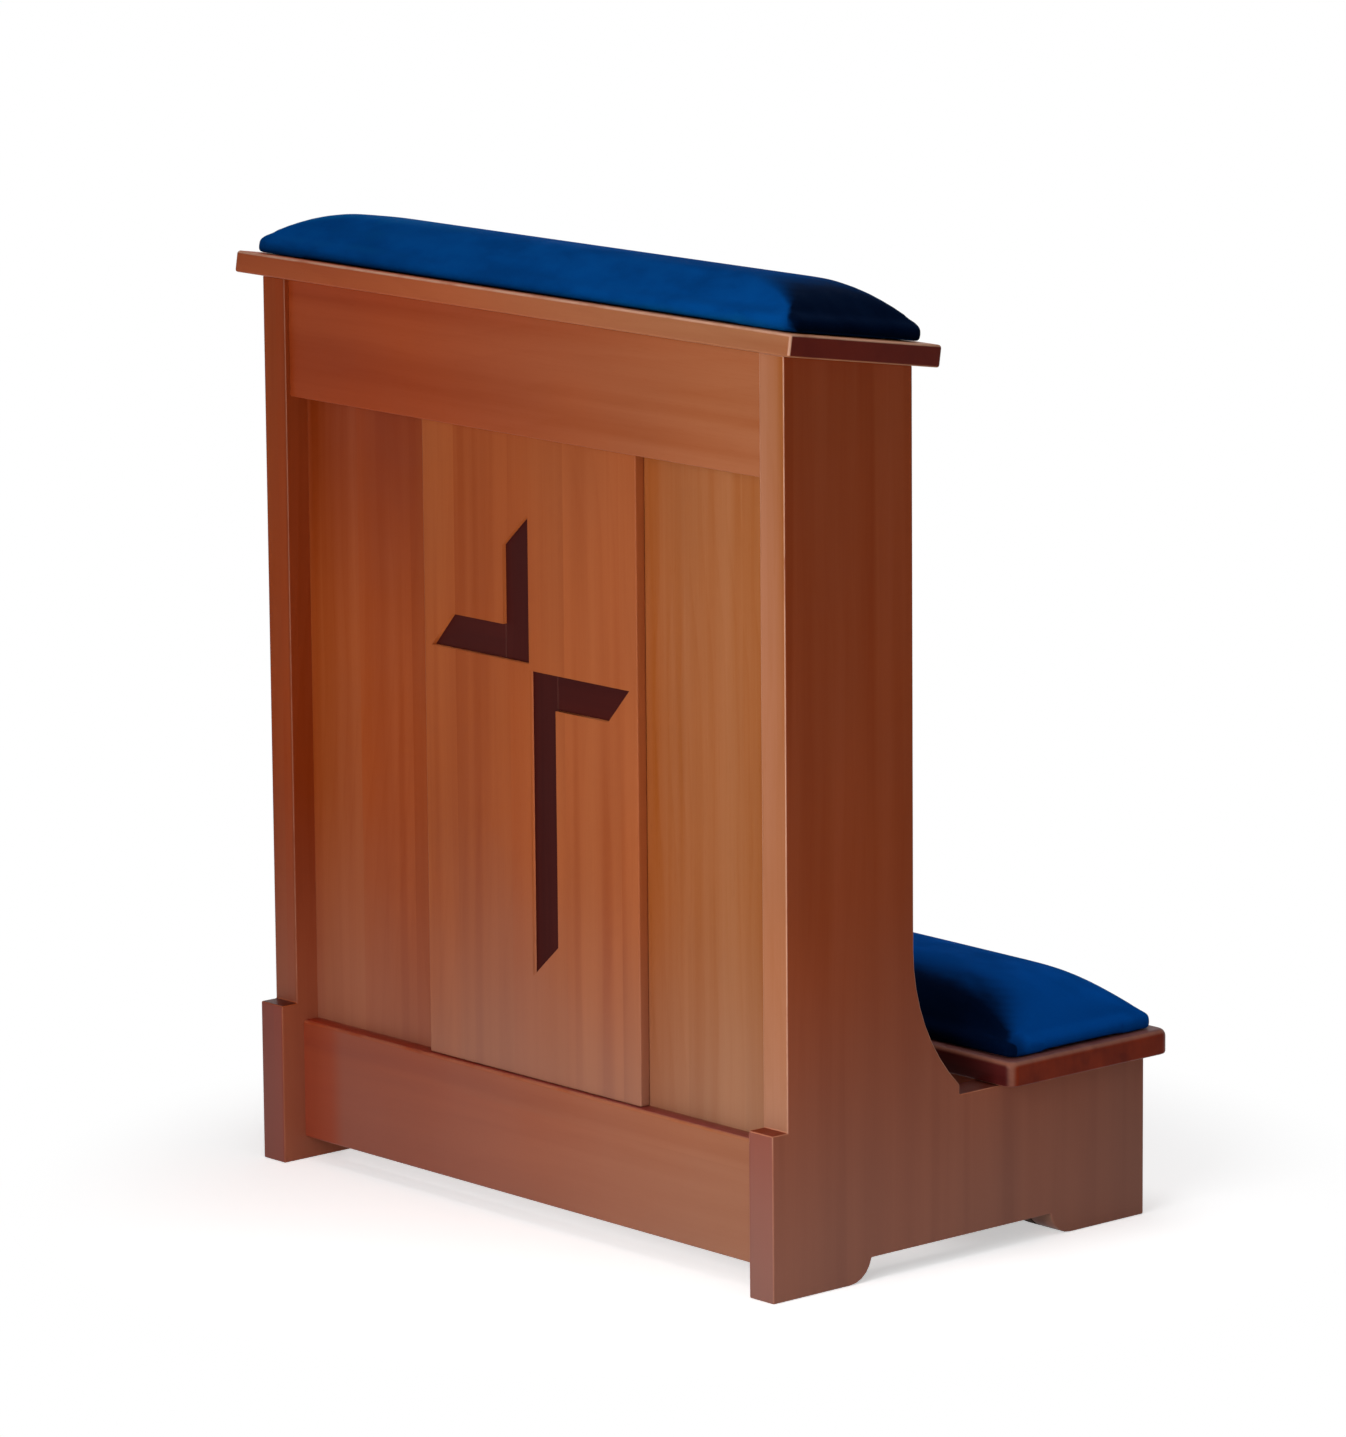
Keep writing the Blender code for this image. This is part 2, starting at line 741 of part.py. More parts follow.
def add_kneeler(parent, sides):
    """The kneeler board on its two rails, bearer and cleats, with the knee pad."""
    seat = add_empty("kneeler_seat", parent, (0, 0, seat_height))
    half_length = outer_face + kneeler_side_overhang
    low = fit_gap
    high = low + kneeler_thickness
    rear = side_rear + kneeler_rear_overhang
    board = add_rounded_board(
        "kneeler_board", (-half_length, kneeler_front, low), (half_length, rear, high),
        kneeler_corner_radius, min(kneeler_edge_round, kneeler_thickness / 3),
        kneeler_lower_edge_round, lacquered_wood, seat,
    )
    front_rail_front = kneeler_front + kneeler_rail_inset
    front_rail_back = front_rail_front + kneeler_rail_thickness
    rear_rail_back = side_rear - rear_rail_inset
    rear_rail_front = rear_rail_back - kneeler_rail_thickness
    front_rail = add_tenoned_board(
        "kneeler_front_rail",
        rectangle(front_rail_front, front_rail_back, seat_height - kneeler_rail_width, seat_height),
        kneeler_rail_shoulder, tenon_length, hidden_edge_ease, lacquered_wood, parent, sides,
    )
    rear_rail = add_tenoned_board(
        "kneeler_rear_rail",
        rectangle(rear_rail_front, rear_rail_back, arch_height, seat_height),
        kneeler_rail_shoulder, tenon_length, hidden_edge_ease, lacquered_wood, parent, sides,
    )
    half_bearer = bearer_thickness / 2
    bearer_low = (-half_bearer, front_rail_back - bearer_housing, seat_height - bearer_width)
    bearer_high = (half_bearer, rear_rail_front + bearer_housing, seat_height)
    bearer = add_piece(
        "kneeler_bearer", mesh_from(box(bearer_low, bearer_high), "kneeler_bearer"),
        inner_wood, parent,
    )
    ease_edges(bearer, hidden_edge_ease)
    housing_low = [value - fit_gap for value in bearer_low]
    housing_high = [bearer_high[0] + fit_gap, bearer_high[1] + fit_gap, seat_height + cut_overrun]
    cut(box(housing_low, housing_high), [front_rail, rear_rail], parent)
    cleat_front = front_rail_back + cleat_clearance
    cleat_rear = rear_rail_front - cleat_clearance
    add_cleats(
        "kneeler", cleat_front, cleat_rear, board, bite_share * kneeler_thickness, sides, seat
    )
    pad_x = half_length - kneeler_pad_inset
    pad_y = kneeler_depth / 2 - kneeler_pad_inset
    centre = kneeler_front + kneeler_depth / 2
    form = {
        "foam_edge": kneeler_foam_edge,
        "crown": kneeler_crown,
        "end_share": kneeler_end_run / pad_x,
        "end_power": kneeler_end_power,
        "cross_power": kneeler_cross_power,
        "corner_radius": kneeler_pad_corner_radius,
    }
    base, base_low = add_pad("knee_pad", pad_x, pad_y, centre, high, form, seat)
    add_pad_screws("knee_pad", pad_x, pad_y, centre, low, high + base_low, [board, base], seat)
    return rear_rail_front


def add_corner_blocks(parent):
    """A three-cornered glue block behind each end of the plinth board."""
    face = plinth_setback + plinth_thickness + fit_gap
    low = arch_height + corner_block_clearance
    high = plinth_top - groove_depth - corner_block_clearance
    for side, side_name in ((-1, "left"), (1, "right")):
        corner = side * (inner_face - fit_gap)
        tip = corner - side * corner_block_leg
        outline = [(corner, face), (tip, face), (corner, face + corner_block_leg)]
        name = f"corner_block_{side_name}"
        block = add_piece(name, mesh_from(prism(outline, "Z", low, high), name), inner_wood, parent)
        ease_edges(block, hidden_edge_ease)


def add_foot_blocks(parent, rail_front):
    """A glue block behind each rear foot, cut to the curve of the toe and standing on the floor."""
    back = rail_front - fit_gap
    high = arch_height + foot_block_rise
    toe = toe_points(rear_sole, -1)
    outline = [(back, 0), *toe, (toe[-1][0], high), (back, high)]
    for side, side_name in ((-1, "left"), (1, "right")):
        near = side * (inner_face - fit_gap)
        ends = sorted((near, near - side * foot_block_thickness))
        name = f"foot_block_{side_name}"
        block = add_piece(name, mesh_from(prism(outline, "X", *ends), name), inner_wood, parent)
        ease_edges(block, hidden_edge_ease)


for old_object in list(bpy.data.objects):
    bpy.data.objects.remove(old_object, do_unlink=True)

lacquered_wood = colour_material("lacquered_wood", (0.30, 0.085, 0.035), 0.32)
panel_wood = colour_material("panel_wood", (0.34, 0.105, 0.042), 0.36)
dark_wood = colour_material("dark_wood", (0.045, 0.008, 0.010), 0.45)
inner_wood = colour_material("inner_wood", (0.42, 0.24, 0.12), 0.6)
plywood = colour_material("plywood", (0.55, 0.38, 0.21), 0.7)
foam_rubber = colour_material("foam_rubber", (0.75, 0.70, 0.50), 0.9)
blue_cloth = colour_material("blue_cloth", (0.004, 0.055, 0.24), 0.75)
steel = colour_material("steel", (0.55, 0.55, 0.52), 0.35, 1.0)

base_centre = add_empty("base_centre", None, (0, -(whole_front + whole_rear) / 2, 0))
side_panels = add_sides(base_centre)
add_centre_board(base_centre, add_front(base_centre, side_panels))
add_top(base_centre, side_panels)
add_shelf(base_centre, side_panels)
add_corner_blocks(base_centre)
add_foot_blocks(base_centre, add_kneeler(base_centre, side_panels))
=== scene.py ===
import math

import bmesh
import bpy
from mathutils import Matrix, Vector


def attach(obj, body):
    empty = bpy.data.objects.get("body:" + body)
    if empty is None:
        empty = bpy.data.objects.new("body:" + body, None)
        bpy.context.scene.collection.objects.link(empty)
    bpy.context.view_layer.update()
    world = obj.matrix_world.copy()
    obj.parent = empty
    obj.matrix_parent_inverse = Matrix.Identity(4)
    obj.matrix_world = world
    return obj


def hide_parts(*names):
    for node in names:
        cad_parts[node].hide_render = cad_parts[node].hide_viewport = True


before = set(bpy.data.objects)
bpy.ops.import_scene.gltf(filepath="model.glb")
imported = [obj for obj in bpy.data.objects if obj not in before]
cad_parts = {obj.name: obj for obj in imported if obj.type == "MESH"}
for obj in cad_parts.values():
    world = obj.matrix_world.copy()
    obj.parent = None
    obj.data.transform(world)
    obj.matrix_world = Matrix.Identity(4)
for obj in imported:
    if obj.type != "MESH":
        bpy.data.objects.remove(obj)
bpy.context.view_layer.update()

# Camera and photograph
camera_place = Vector((4.934, -4.3715, 1.712))
camera_azimuth = math.radians(48.655)
camera_elevation = math.radians(11.101)
camera_roll = math.radians(-0.493)
photo_long_side = 1437
photo_focal_pixels = 7703.4
sensor_size = 36.0

# Room. The camera sees the floor turn white between two distances from the kneeler.
floor_size = 14.0
floor_white_range = (0.40, 0.62)
floor_shade = (0.86, 0.86, 0.865)
floor_glow = 0.50
floor_gain = 1.2
room_light = 0.12
white = (1.0, 1.0, 1.0, 1.0)

# Lamps: place, aim, size and power
lamps = {
    "key_lamp_high": ((0.75, -1.35, 1.05), (0.1, -0.2, 0.42), (0.8, 0.8), 2.9),
    "key_lamp_low": ((0.80, -1.30, 0.50), (0.1, -0.2, 0.42), (0.7, 0.7), 5.0),
    "strip_lamp": ((0.36, -0.85, 0.50), (0.36, -0.2, 0.50), (0.25, 1.0), 2.55),
    "rear_lamp": ((1.5, 1.1, 1.9), (0.1, 0.1, 0.2), (1.0, 1.0), 0.84),
    "top_lamp": ((0.2, 0.1, 3.0), (0.0, 0.0, 0.3), (1.8, 1.8), 25),
}

# Where almost all values of a noise lie
noise_range = (0.3, 0.7)

# Growth rings, and how the planks glued into a board differ
ring_spacing = 0.011
ring_sharpness = 2.5
ring_end = (1.0, 0.86)
ring_taper = 0.022
bend_scale = (5.0, 5.0, 2.2)
bend_reach = (0.05, 0.05, 0.0)
plank_shift = (0.05, 0.05, 0.9)
plank_ring_shift = (0.6, 0.6, 0.0)
plank_tones = (0.96, 1.04)

# Lacquer
# Colour of lacquer worn on the arrises, also standing in for a painted highlight along them.
wear_and_highlight_colour = (0.62, 0.33, 0.22)
# Painted reflection of the pale floor: upright lacquer turns paler and greyer towards the floor,
# up to this height.
floor_reflection_colour = (0.44, 0.42, 0.37, 1.0)
floor_reflection_height = 0.36
dust_colour = (0.62, 0.58, 0.53, 1.0)
dust_cover = 0.035
smear_dulls = 0.06
dust_dulls = 0.10
grain_relief = 0.00012
turned_square = (0.75, 0.97)
smooth_angle = math.radians(35)
merge_distance = 0.00001
flat_within = math.radians(0.3)
grain_turns = {
    "X": (0.0, math.radians(90), 0.0),
    "Y": (math.radians(90), 0.0, 0.0),
    "Z": (0.0, 0.0, 0.0),
}

# Where a stain, a painted shade or a painted sheen grows on a board: what is read, its axis, and
# the values from which it grows and at which it is whole
looks_up = ("facing", 2, *turned_square)
looks_forward = ("facing", 1, -0.75, -0.97)
foot_front = ("place", 1, -0.209, -0.216)
behind_foot_front = ("place", 1, -0.216, -0.209)
step_top = ("place", 1, -0.190, -0.205)
# Painted sheen: a board turns paler and greyer towards the right, where the lamps stand.
sheen_toward_right = ("place", 0, -0.25, 0.34)
inside_left = ("place", 0, -0.3130, -0.3104)
inside_right = ("place", 0, 0.3130, 0.3104)

# Cloth
weave_pitch = 0.00085
pile_scale = (1300.0, 1300.0, 1300.0)
brushed_scale = (16.0, 28.0, 28.0)
# Painted shade and highlight on the pads: how their direction turns along a pad, the ranges that
# darken and brighten, and the colours.
shade_turn = (-0.33, 0.24)
lit_side_range = (-0.04, -0.34)
shaded_side_range = (0.09, 0.64)
painted_lit_colour = (0.0025, 0.125, 0.36, 1.0)
painted_shade_colour = (0.0002, 0.0008, 0.0042, 1.0)
sheen_colour = (0.0, 0.22, 0.80, 1.0)

# Pads
board_slope = math.radians(8.9)
pad_segments = (110, 34)
pad_rest_gap = 0.0004
pad_start_inset = 0.003
pad_voxel = 0.004
pad_pressure = 4.0
pad_frames = 20
pad_travel = 0.0032
pad_stretch_stiffness = 18
pad_bend_stiffness = 0.6
pad_stapled_below = 0.006
pad_smoothing = 3
pad_hem_turn = 0.0022
pad_hem_height = 0.0042
hem_reach = 0.006
hem_hold_shares = (0.65, 1.5)
staple_pitch = 0.034
pucker_depth = 0.0004
tuck_depth = 0.0007
tuck_reach = 0.022
tuck_turns = 8
tuck_sharpness = 6


def node(tree, kind, inputs=None, **settings):
    """A new shader node. An input takes a value, or another node's output to link to."""
    made = tree.nodes.new(kind)
    for name, value in settings.items():
        setattr(made, name, value)
    for name, value in (inputs or {}).items():
        if isinstance(value, bpy.types.NodeSocket):
            tree.links.new(value, made.inputs[name])
        else:
            made.inputs[name].default_value = value
    return made


def maths(tree, operation, first, second=0.0, third=0.0):
    return node(
        tree, "ShaderNodeMath", {0: first, 1: second, 2: third}, operation=operation
    ).outputs[0]


def times(tree, first, second):
    return maths(tree, "MULTIPLY", first, second)


def plus(tree, first, second):
    return maths(tree, "ADD", first, second)


def vector_maths(tree, operation, first, second=(0.0, 0.0, 0.0)):
    made = node(tree, "ShaderNodeVectorMath", {0: first, 1: second}, operation=operation)
    return made.outputs["Value" if operation in ("LENGTH", "DOT_PRODUCT") else "Vector"]


def parts_of(tree, vector):
    """A vector's x, y and z."""
    return node(tree, "ShaderNodeSeparateXYZ", {0: vector}).outputs


def ease(tree, value, start, end, low=0.0, high=1.0):
    """The value mapped smoothly from start..end to low..high."""
    inputs = {"Value": value, "From Min": start, "From Max": end, "To Min": low, "To Max": high}
    return node(tree, "ShaderNodeMapRange", inputs, interpolation_type="SMOOTHSTEP").outputs[0]


def mixed(tree, share, first, second, blend_type="MIX"):
    inputs = {0: share, 6: first, 7: second}
    return node(
        tree, "ShaderNodeMix", inputs, data_type="RGBA", blend_type=blend_type
    ).outputs[2]


def stretched_noise(tree, place, scale, detail=2.0, roughness=0.5, output=0):
    """Noise whose scale differs along X, Y and Z."""
    scaled = vector_maths(tree, "MULTIPLY", place, scale)
    inputs = {"Vector": scaled, "Scale": 1.0, "Detail": detail, "Roughness": roughness}
    return node(tree, "ShaderNodeTexNoise", inputs).outputs[output]


def bump(tree, height, strength, distance):
    inputs = {"Height": height, "Strength": strength, "Distance": distance}
    return node(tree, "ShaderNodeBump", inputs).outputs[0]


def new_group(name, inputs, outputs):
    """An empty shader node group, its input node's outputs and its output node."""
    group = bpy.data.node_groups.new(name, "ShaderNodeTree")
    for in_out, sockets in (("INPUT", inputs), ("OUTPUT", outputs)):
        for socket_name, kind in sockets.items():
            group.interface.new_socket(
                socket_name, in_out=in_out, socket_type="NodeSocket" + kind
            )
    return group, group.nodes.new("NodeGroupInput").outputs, group.nodes.new("NodeGroupOutput")


def new_material(name):
    material = bpy.data.materials.new(name)
    material.use_nodes = True
    tree = material.node_tree
    return material, tree, tree.nodes["Principled BSDF"]


def wood_figure_group():
    """Growth rings, streaks, pores and glued planks of a board whose grain runs along Z."""
    group, given, result = new_group(
        "wood_figure",
        {
            "Vector": "Vector", "Pith": "Vector", "Early Wood": "Color", "Late Wood": "Color",
            "Ring Spacing": "Float", "Figure": "Float", "Plank Width": "Float", "Seed": "Float",
        },
        {"Color": "Color", "Gloss Change": "Float", "Height": "Float"},
    )
    seed = given["Seed"]
    offset = node(group, "ShaderNodeCombineXYZ", {0: seed, 1: seed, 2: seed}).outputs[0]
    place = vector_maths(group, "ADD", given["Vector"], offset)
    across = plus(group, parts_of(group, given["Vector"])[0], seed)
    plank_number = maths(group, "FLOOR", maths(group, "DIVIDE", across, given["Plank Width"]))
    plank = node(
        group, "ShaderNodeTexWhiteNoise", {"W": plank_number}, noise_dimensions="1D"
    ).outputs
    shift = vector_maths(group, "MULTIPLY", plank["Color"], plank_shift)
    place = vector_maths(group, "ADD", place, shift)

    bend = stretched_noise(group, place, bend_scale, output="Color")
    bend = vector_maths(group, "SUBTRACT", bend, (0.5, 0.5, 0.5))
    bend = vector_maths(group, "MULTIPLY", bend, bend_reach)
    bent = vector_maths(group, "SUBTRACT", given["Vector"], given["Pith"])
    bent = vector_maths(group, "ADD", bent, bend)
    ring_shift = vector_maths(group, "MULTIPLY", shift, plank_ring_shift)
    bent = vector_maths(group, "ADD", bent, ring_shift)
    flat = vector_maths(group, "MULTIPLY", bent, (1.0, 1.0, 0.0))
    along = parts_of(group, place)[2]
    radius = maths(group, "MULTIPLY_ADD", along, ring_taper, vector_maths(group, "LENGTH", flat))
    ring = maths(group, "FRACT", maths(group, "DIVIDE", radius, given["Ring Spacing"]))
    late = times(group, maths(group, "POWER", ring, ring_sharpness), ease(group, ring, *ring_end))

    band = stretched_noise(group, place, (24.0, 24.0, 1.1), 1.0)
    streak = stretched_noise(group, place, (62.0, 62.0, 1.9), 1.0)
    dark_streak = stretched_noise(group, place, (46.0, 46.0, 0.8), 1.0)
    fibre = stretched_noise(group, place, (520.0, 520.0, 9.0), 2.0, 0.6)
    pore = stretched_noise(group, place, (1500.0, 1500.0, 85.0), 1.0)
    pore = ease(group, pore, 0.60, 0.72)
    cloud = stretched_noise(group, place, (7.0, 7.0, 3.0))

    share = times(group, late, given["Figure"])
    share = plus(group, share, ease(group, band, *noise_range, 0.0, 0.56))
    share = plus(group, share, ease(group, streak, *noise_range, 0.0, 0.22))
    share = plus(group, share, ease(group, dark_streak, 0.56, 0.72, 0.0, 0.40))
    share = plus(group, share, ease(group, fibre, 0.30, 0.75, -0.04, 0.06))
    share = maths(group, "MULTIPLY_ADD", pore, 0.08, share)
    colour = mixed(group, share, given["Early Wood"], given["Late Wood"])
    tone = ease(group, plank["Value"], 0.0, 1.0, *plank_tones)
    tone = plus(group, tone, ease(group, cloud, *noise_range, -0.05, 0.05))
    tint = node(group, "ShaderNodeCombineColor", {0: tone, 1: tone, 2: tone}).outputs[0]
    group.links.new(mixed(group, 1.0, colour, tint, "MULTIPLY"), result.inputs["Color"])
    gloss = maths(group, "MULTIPLY_ADD", pore, 0.10, ease(group, cloud, *noise_range, -0.03, 0.03))
    group.links.new(gloss, result.inputs["Gloss Change"])
    relief = maths(group, "MULTIPLY_ADD", pore, -1.0, times(group, fibre, 0.5))
    group.links.new(relief, result.inputs["Height"])
    return group


def edge_wear_and_highlight_group():
    """A mask of the rounded arrises, where hands and cloths have worn the lacquer and a highlight
    is painted along the edge.

    There is less of it near the floor, and nothing on arrises that look down.
    """
    group, given, result = new_group(
        "edge_wear_and_highlight", {"Vector": "Vector", "Facing": "Vector"}, {"Mask": "Float"}
    )
    up = parts_of(group, given["Facing"])[2]
    steep = parts_of(group, vector_maths(group, "ABSOLUTE", given["Facing"]))
    steepest = maths(group, "MAXIMUM", steep[0], steep[1])
    steepest = maths(group, "MAXIMUM", steepest, steep[2])
    arris = ease(group, steepest, 0.985, 0.86)
    patches = stretched_noise(group, given["Vector"], (26.0, 26.0, 26.0), 4.0, 0.6)
    above_floor = parts_of(group, given["Vector"])[2]
    reached = ease(group, above_floor, 0.11, 0.19, 0.15, 1.0)
    reached = times(group, ease(group, up, -0.40, -0.08), reached)
    reached = times(group, reached, ease(group, patches, 0.28, 0.56, 0.35, 1.0))
    group.links.new(times(group, arris, reached), result.inputs["Mask"])
    return group


def marks_and_reflection_group():
    """Soft smears and settled dust, and a painted reflection of the pale floor on the lower
    lacquer.
    """
    group, given, result = new_group(
        "marks_and_floor_reflection",
        {"Vector": "Vector", "Facing": "Vector", "Floor Reflection Height": "Float"},
        {"Smear": "Float", "Dust": "Float", "Floor Reflection": "Float"},
    )
    smear = stretched_noise(group, given["Vector"], (9.0, 9.0, 14.0), 4.0, 0.6)
    group.links.new(ease(group, smear, 0.42, 0.66), result.inputs["Smear"])
    up = parts_of(group, given["Facing"])[2]
    settled = stretched_noise(group, given["Vector"], (60.0, 60.0, 60.0), 3.0, 0.6)
    dust = times(group, ease(group, up, 0.75, 1.0), ease(group, settled, 0.35, 0.75))
    group.links.new(dust, result.inputs["Dust"])
    above_floor = parts_of(group, given["Vector"])[2]
    uneven = stretched_noise(group, given["Vector"], (4.0, 4.0, 2.0), 3.0, 0.6)
    uneven = ease(group, uneven, *noise_range, -0.07, 0.07)
    # Painted floor reflection, growing towards the floor on faces that stand upright.
    level = maths(group, "DIVIDE", above_floor, given["Floor Reflection Height"])
    level = plus(group, level, uneven)
    upright = ease(group, up, 0.60, 0.10)
    floor_reflection = times(group, ease(group, level, 1.0, -0.05), upright)
    group.links.new(floor_reflection, result.inputs["Floor Reflection"])
    return group


def group_node(tree, group, inputs):
    return node(tree, "ShaderNodeGroup", inputs, node_tree=group).outputs


def tinted(tree, amount, colour, shares):
    """The colour multiplied by the shares, as far as the amount goes."""
    return mixed(tree, amount, colour, mixed(tree, 1.0, colour, (*shares, 1.0), "MULTIPLY"))


def wood_material(
    name, grain, seed, pith, plank, early, late, arris_colour=wear_and_highlight_colour, roughness=0.38,
    figure=0.16, arris=0.45, floor_reflection=0.24, specular=0.09, end_shares=(0.60, 0.42, 0.38), stains_and_painted_light=(),
    less_floor_reflection=None,
):
    """Lacquered wood whose grain runs along a world axis. Its end grain has taken up more stain.

    Each tint has the places where it grows and the shares of red, green and blue that it leaves;
    some tints are a real stain, the others painted shade and painted sheen. The last argument is a
    place that gets less of the painted floor reflection, and the share of it that is left.
    """
    material, tree, shader = new_material(name)
    here = node(tree, "ShaderNodeTexCoord").outputs
    turned = node(
        tree, "ShaderNodeMapping", {"Vector": here["Object"], "Rotation": grain_turns[grain]},
        vector_type="POINT",
    ).outputs[0]
    figure_of = group_node(tree, wood_figure, {
        "Vector": turned, "Pith": pith, "Early Wood": (*early, 1.0), "Late Wood": (*late, 1.0),
        "Ring Spacing": ring_spacing, "Figure": figure, "Plank Width": plank, "Seed": seed,
    })
    where = {"Vector": here["Object"], "Facing": here["Normal"]}
    worn_and_lit = group_node(tree, edge_wear_and_highlight, where)["Mask"]
    marks = group_node(tree, marks_and_floor_reflection, dict(where, **{"Floor Reflection Height": floor_reflection_height}))
    reads = {"facing": parts_of(tree, here["Normal"]), "place": parts_of(tree, here["Object"])}

    end_grain = maths(tree, "ABSOLUTE", reads["facing"]["XYZ".index(grain)])
    end_grain = ease(tree, end_grain, *turned_square)
    colour = tinted(tree, end_grain, figure_of["Color"], end_shares)
    for places, shares in stains_and_painted_light:
        amount, *others = (
            ease(tree, reads[read][axis], start, end) for read, axis, start, end in places
        )
        for other in others:
            amount = times(tree, amount, other)
        colour = tinted(tree, amount, colour, shares)
    # Worn arrises, together with a painted highlight along them.
    colour = mixed(tree, times(tree, worn_and_lit, arris), colour, (*arris_colour, 1.0))
    # Painted reflection of the pale floor, weaker where a place is given for less of it.
    floor_reflected = times(tree, marks["Floor Reflection"], floor_reflection)
    if less_floor_reflection:
        (read, axis, start, end), left = less_floor_reflection
        floor_reflected = times(tree, floor_reflected, ease(tree, reads[read][axis], start, end, 1.0, left))
    colour = mixed(tree, floor_reflected, colour, floor_reflection_colour)
    colour = mixed(tree, times(tree, marks["Dust"], dust_cover), colour, dust_colour)
    tree.links.new(colour, shader.inputs["Base Color"])

    shine = plus(tree, figure_of["Gloss Change"], roughness)
    shine = maths(tree, "MULTIPLY_ADD", marks["Smear"], smear_dulls, shine)
    shine = maths(tree, "MULTIPLY_ADD", marks["Dust"], dust_dulls, shine)
    tree.links.new(shine, shader.inputs["Roughness"])
    relief = bump(tree, figure_of["Height"], 0.22, grain_relief)
    tree.links.new(relief, shader.inputs["Normal"])
    shader.inputs["Specular IOR Level"].default_value = specular
    return material


def cloth_material(name, left_shaded_facing, right_shaded_facing, deep, bright, corner):
    """Short-pile royal blue cloth over a fine weave.

    A painted shade darkens the faces that turn toward a given direction, and a painted highlight
    brightens those that turn away; the direction turns from the pad's left end to its right. The
    corner gives the axis, start and end of a painted shade round the pad's near corner.
    """
    material, tree, shader = new_material(name)
    here = node(tree, "ShaderNodeTexCoord").outputs
    place = parts_of(tree, here["Object"])
    threads = []
    for along in (place[0], place[1]):
        wave = maths(tree, "SINE", times(tree, along, 2 * math.pi / weave_pitch))
        threads.append(maths(tree, "MULTIPLY_ADD", wave, 0.5, 0.5))
    weave = maths(tree, "MAXIMUM", *threads)
    pile = stretched_noise(tree, here["Object"], pile_scale, 2.0, 0.6)
    brushed = stretched_noise(tree, here["Object"], brushed_scale, 3.0, 0.55)
    shade = maths(tree, "MULTIPLY_ADD", weave, 0.10, ease(tree, pile, 0.25, 0.75, 0.0, 0.30))
    shade = plus(tree, shade, ease(tree, brushed, 0.32, 0.68, 0.0, 0.55))
    colour = mixed(tree, shade, (*deep, 1.0), (*bright, 1.0))

    # Painted shade and highlight: faces turned toward this direction darken, faces turned away
    # brighten.
    shaded_facing = node(
        tree, "ShaderNodeMix", {0: ease(tree, place[0], *shade_turn), 4: left_shaded_facing, 5: right_shaded_facing},
        data_type="VECTOR",
    ).outputs[1]
    lean = vector_maths(tree, "DOT_PRODUCT", here["Normal"], shaded_facing)
    lean = plus(tree, lean, ease(tree, brushed, *noise_range, -0.06, 0.06))
    colour = mixed(tree, ease(tree, lean, *lit_side_range, 0.0, 0.6), colour, painted_lit_colour)
    axis, start, end = corner
    # Painted shade round the pad's near corner.
    corner_shade = ease(tree, place[axis], start, end, 0.0, 0.8)
    against = maths(tree, "MAXIMUM", ease(tree, lean, *shaded_side_range), corner_shade)
    colour = mixed(tree, times(tree, against, 0.94), colour, painted_shade_colour)
    tree.links.new(colour, shader.inputs["Base Color"])

    tree.links.new(ease(tree, brushed, *noise_range, 0.86, 0.74), shader.inputs["Roughness"])
    relief = maths(tree, "MULTIPLY_ADD", weave, 0.5, pile)
    tree.links.new(bump(tree, relief, 0.35, 0.0004), shader.inputs["Normal"])
    shader.inputs["Specular IOR Level"].default_value = 0.01
    shader.inputs["Sheen Weight"].default_value = 0.025
    shader.inputs["Sheen Roughness"].default_value = 0.45
    shader.inputs["Sheen Tint"].default_value = sheen_colour
    return material


def plywood_material():
    """Sanded plywood under the pads, with its grain along X."""
    material, tree, shader = new_material("plywood")
    here = node(tree, "ShaderNodeTexCoord").outputs
    mottle = stretched_noise(tree, here["Object"], (30.0, 300.0, 300.0), 3.0, 0.6)
    mottled = ease(tree, mottle, *noise_range)
    colour = mixed(tree, mottled, (0.50, 0.34, 0.19, 1.0), (0.38, 0.24, 0.12, 1.0))
    tree.links.new(colour, shader.inputs["Base Color"])
    tree.links.new(ease(tree, mottle, *noise_range, 0.64, 0.76), shader.inputs["Roughness"])
    tree.links.new(bump(tree, mottle, 0.5, 0.0001), shader.inputs["Normal"])
    return material


def steel_material():
    """Zinc-plated screws, a little dulled."""
    material, tree, shader = new_material("zinc_plate")
    here = node(tree, "ShaderNodeTexCoord").outputs
    tarnish = stretched_noise(tree, here["Object"], (420.0, 420.0, 420.0), 3.0, 0.6)
    dulled = ease(tree, tarnish, 0.35, 0.7)
    colour = mixed(tree, dulled, (0.62, 0.60, 0.54, 1.0), (0.40, 0.38, 0.33, 1.0))
    tree.links.new(colour, shader.inputs["Base Color"])
    tree.links.new(ease(tree, tarnish, *noise_range, 0.28, 0.48), shader.inputs["Roughness"])
    tree.links.new(bump(tree, tarnish, 0.2, 0.00005), shader.inputs["Normal"])
    shader.inputs["Metallic"].default_value = 1.0
    return material


def give(names, material):
    """Puts a material on CAD nodes as they are."""
    for name in names:
        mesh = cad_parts[name].data
        mesh.materials.clear()
        mesh.materials.append(material)


